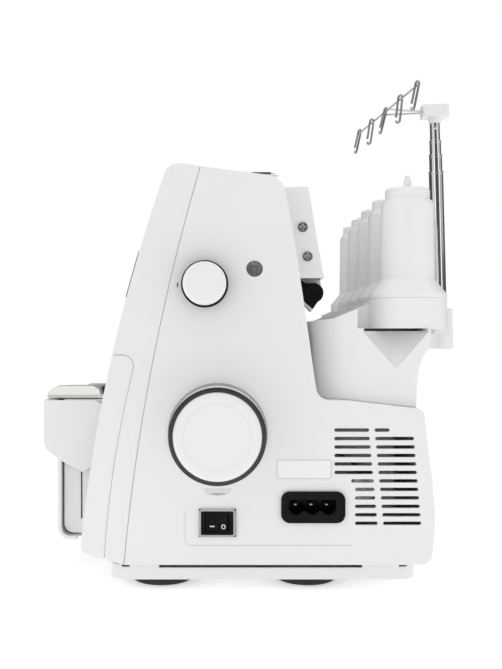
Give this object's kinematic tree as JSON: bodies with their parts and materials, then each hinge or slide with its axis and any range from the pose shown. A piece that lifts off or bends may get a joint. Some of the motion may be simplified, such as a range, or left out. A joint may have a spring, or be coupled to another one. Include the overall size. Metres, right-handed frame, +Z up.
{
  "type": "serger overlock machine",
  "caption": "Overlock sewing machine with sloped front, handwheel, looper cover, cloth plate, spool tray and telescopic thread stand.",
  "frame": {"origin": "centre of the whole machine's bounding box, on the surface that its feet stand on", "axes": "+X towards the handwheel end, -Y towards the operator, +Z up"},
  "size_m": [0.352, 0.3547, 0.3971],
  "materials": {
    "white_shell": "smooth moulded, satin gloss",
    "white_trim": "smooth moulded, gloss",
    "white_thread_parts": "smooth moulded, satin",
    "black_rubber": "matt",
    "black_plastic": "fine satin",
    "smoked_plastic": "gloss",
    "cast_aluminium": "as cast, matt",
    "steel": "ground",
    "rod_chrome": "polished",
    "screw_metal": "zinc plated",
    "wheel_ring": "satin metallic",
    "plate_metal": "satin, warm grey",
    "motor_housing": "satin black",
    "brass": "satin"
  },
  "bodies": {
    "machine": {"base_pan": "white_shell", "rubber_feet": "black_rubber", "frame_base": "cast_aluminium", "frame_arm": "cast_aluminium", "end_casing": "white_shell", "front_cover": "white_shell", "front_corner_panel": "white_shell", "head_cover": "white_shell", "lower_rear_casing": "white_shell", "bed_casing": "white_shell", "stand_tower": "white_shell", "rear_top_cover": "white_shell", "case_screws": "screw_metal", "dial_bezel": "smoked_plastic", "tension_discs": "steel", "switch_bezel": "black_plastic", "inlet_housing": "black_plastic", "inlet_pins": "brass", "shaft_bearings": "steel", "drive_belt": "black_rubber", "motor": "motor_housing", "needle_plate": "plate_metal", "spool_tray": "white_thread_parts", "stand_bracket": "white_shell", "rod_section_4": "rod_chrome", "top_thread_guide": "rod_chrome"},
    "main_shaft": {"main_shaft": "steel", "handwheel": "white_trim", "handwheel_ring": "wheel_ring"},
    "motor_rotor": {"motor_pulley": "steel"},
    "side_dial": {"side_dial": "white_trim", "side_dial_skirt": "black_plastic"},
    "power_rocker": {"power_rocker": "black_plastic"},
    "cover_hinge": {"cover_hinge_rod": "steel"},
    "looper_cover": {"looper_cover": "white_shell"},
    "cloth_plate": {"cloth_plate": "plate_metal"},
    "presser": {"presser_bar": "steel", "presser_foot": "steel"},
    "needle_bar": {"needle_bar": "steel"},
    "feed_dogs": {"feed_dogs": "steel"},
    "upper_looper": {"upper_looper": "steel"},
    "lower_looper": {"lower_looper": "steel"},
    "upper_knife": {"upper_knife": "steel"},
    "lifter": {"lifter_lever": "black_plastic", "lifter_shaft": "plate_metal"},
    "rod_section_3": {"rod_section_3": "rod_chrome"},
    "rod_section_2": {"rod_section_2": "rod_chrome"},
    "rod_section_1": {"rod_section_1": "rod_chrome"},
    "guide_head": {"guide_head": "white_trim", "guide_wire": "rod_chrome"},
    "tension_dial_1": {"tension_dial_1": "white_trim"},
    "cone_holder_1": {"cone_holder_1": "white_thread_parts"},
    "tension_dial_2": {"tension_dial_2": "white_trim"},
    "cone_holder_2": {"cone_holder_2": "white_thread_parts"},
    "tension_dial_3": {"tension_dial_3": "white_trim"},
    "cone_holder_3": {"cone_holder_3": "white_thread_parts"},
    "tension_dial_4": {"tension_dial_4": "white_trim"},
    "cone_holder_4": {"cone_holder_4": "white_thread_parts"},
    "tension_dial_5": {"tension_dial_5": "white_trim"},
    "cone_holder_5": {"cone_holder_5": "white_thread_parts"}
  },
  "joints": [
    {"name": "handwheel_turn", "type": "hinge", "parent": "machine", "child": "main_shaft", "pos_m": [0.144, -0.036, 0.1169], "axis": [1, 0, 0], "continuous": true},
    {"name": "motor_turn", "type": "hinge", "parent": "machine", "child": "motor_rotor", "pos_m": [0.1, 0.075, 0.072], "axis": [1, 0, 0], "continuous": true},
    {"name": "side_dial_turn", "type": "hinge", "parent": "machine", "child": "side_dial", "pos_m": [0.144, -0.0453, 0.2248], "axis": [1, 0, 0], "range_deg": [-130, 130]},
    {"name": "power_rocker_tilt", "type": "hinge", "parent": "machine", "child": "power_rocker", "pos_m": [0.1435, -0.0366, 0.05085], "axis": [0, 0, 1], "range_deg": [0, 16]},
    {"name": "looper_cover_open", "type": "hinge", "parent": "machine", "child": "cover_hinge", "pos_m": [0, -0.15, 0.028], "axis": [1, 0, 0], "range_deg": [0, 70]},
    {"name": "looper_cover_slide", "type": "slide", "parent": "cover_hinge", "child": "looper_cover", "axis": [1, 0, 0], "range_m": [0, 0.006]},
    {"name": "cloth_plate_swing", "type": "hinge", "parent": "machine", "child": "cloth_plate", "pos_m": [-0.168, -0.046, 0.137], "axis": [0, 0, -1], "range_deg": [0, 60]},
    {"name": "needle_bar_stroke", "type": "slide", "parent": "machine", "child": "needle_bar", "axis": [0, 0, 1], "range_m": [-0.027, 0]},
    {"name": "upper_looper_swing", "type": "hinge", "parent": "machine", "child": "upper_looper", "pos_m": [-0.04, -0.09, 0.096], "axis": [0, 1, 0], "range_deg": [0, 12]},
    {"name": "lower_looper_swing", "type": "hinge", "parent": "machine", "child": "lower_looper", "pos_m": [-0.04, -0.085, 0.07], "axis": [0, 1, 0], "range_deg": [-10, 0]},
    {"name": "upper_knife_stroke", "type": "slide", "parent": "machine", "child": "upper_knife", "axis": [0, 0, 1], "range_m": [0, 0.008]},
    {"name": "feed_dogs_shift", "type": "slide", "parent": "machine", "child": "feed_dogs", "axis": [0, 1, 0], "range_m": [0, 0.003]},
    {"name": "lifter_lift", "type": "hinge", "parent": "machine", "child": "lifter", "pos_m": [0.108, 0.0367, 0.2201], "axis": [-1, 0, 0], "range_deg": [0, 30]},
    {"name": "presser_lift", "type": "slide", "parent": "machine", "child": "presser", "axis": [0, 0, 1], "range_m": [0, 0.006]},
    {"name": "tension_dial_1_turn", "type": "hinge", "parent": "machine", "child": "tension_dial_1", "pos_m": [0.1, -0.08312, 0.22832], "axis": [1, 0, 0], "range_deg": [-135, 135]},
    {"name": "tension_dial_2_turn", "type": "hinge", "parent": "machine", "child": "tension_dial_2", "pos_m": [0.062, -0.08312, 0.22832], "axis": [1, 0, 0], "range_deg": [-135, 135]},
    {"name": "tension_dial_3_turn", "type": "hinge", "parent": "machine", "child": "tension_dial_3", "pos_m": [0.024, -0.08312, 0.22832], "axis": [1, 0, 0], "range_deg": [-135, 135]},
    {"name": "tension_dial_4_turn", "type": "hinge", "parent": "machine", "child": "tension_dial_4", "pos_m": [-0.014, -0.08312, 0.22832], "axis": [1, 0, 0], "range_deg": [-135, 135]},
    {"name": "tension_dial_5_turn", "type": "hinge", "parent": "machine", "child": "tension_dial_5", "pos_m": [-0.052, -0.08312, 0.22832], "axis": [1, 0, 0], "range_deg": [-135, 135]},
    {"name": "rod_lower_slide", "type": "slide", "parent": "machine", "child": "rod_section_3", "axis": [0, -0.0262, 0.9997], "range_m": [0, 0.06]},
    {"name": "rod_middle_slide", "type": "slide", "parent": "rod_section_3", "child": "rod_section_2", "axis": [0, -0.0262, 0.9997], "range_m": [0, 0.06]},
    {"name": "rod_upper_slide", "type": "slide", "parent": "rod_section_2", "child": "rod_section_1", "axis": [0, -0.0262, 0.9997], "range_m": [0, 0.06]},
    {"name": "guide_head_swivel", "type": "hinge", "parent": "rod_section_1", "child": "guide_head", "pos_m": [-0.016, 0.16067, 0.37993], "axis": [0, -0.0262, 0.9997], "range_deg": [-90, 90]},
    {"name": "cone_holder_1_lift", "type": "slide", "parent": "machine", "child": "cone_holder_1", "axis": [0, 0, 1], "range_m": [0, 0.05]},
    {"name": "cone_holder_2_lift", "type": "slide", "parent": "machine", "child": "cone_holder_2", "axis": [0, 0, 1], "range_m": [0, 0.05]},
    {"name": "cone_holder_3_lift", "type": "slide", "parent": "machine", "child": "cone_holder_3", "axis": [0, 0, 1], "range_m": [0, 0.05]},
    {"name": "cone_holder_4_lift", "type": "slide", "parent": "machine", "child": "cone_holder_4", "axis": [0, 0, 1], "range_m": [0, 0.05]},
    {"name": "cone_holder_5_lift", "type": "slide", "parent": "machine", "child": "cone_holder_5", "axis": [0, 0, 1], "range_m": [0, 0.05]}
  ],
  "couplings": [
    {"joint": "motor_turn", "follows": "handwheel_turn", "ratio": 2.7544},
    {"joint": "upper_looper_swing", "follows": "needle_bar_stroke", "rad_per_m": -7.7562},
    {"joint": "lower_looper_swing", "follows": "needle_bar_stroke", "rad_per_m": 6.4635},
    {"joint": "upper_knife_stroke", "follows": "needle_bar_stroke", "ratio": -0.29627},
    {"joint": "feed_dogs_shift", "follows": "needle_bar_stroke", "ratio": -0.1111},
    {"joint": "lifter_lift", "follows": "presser_lift", "rad_per_m": 87.258}
  ]
}
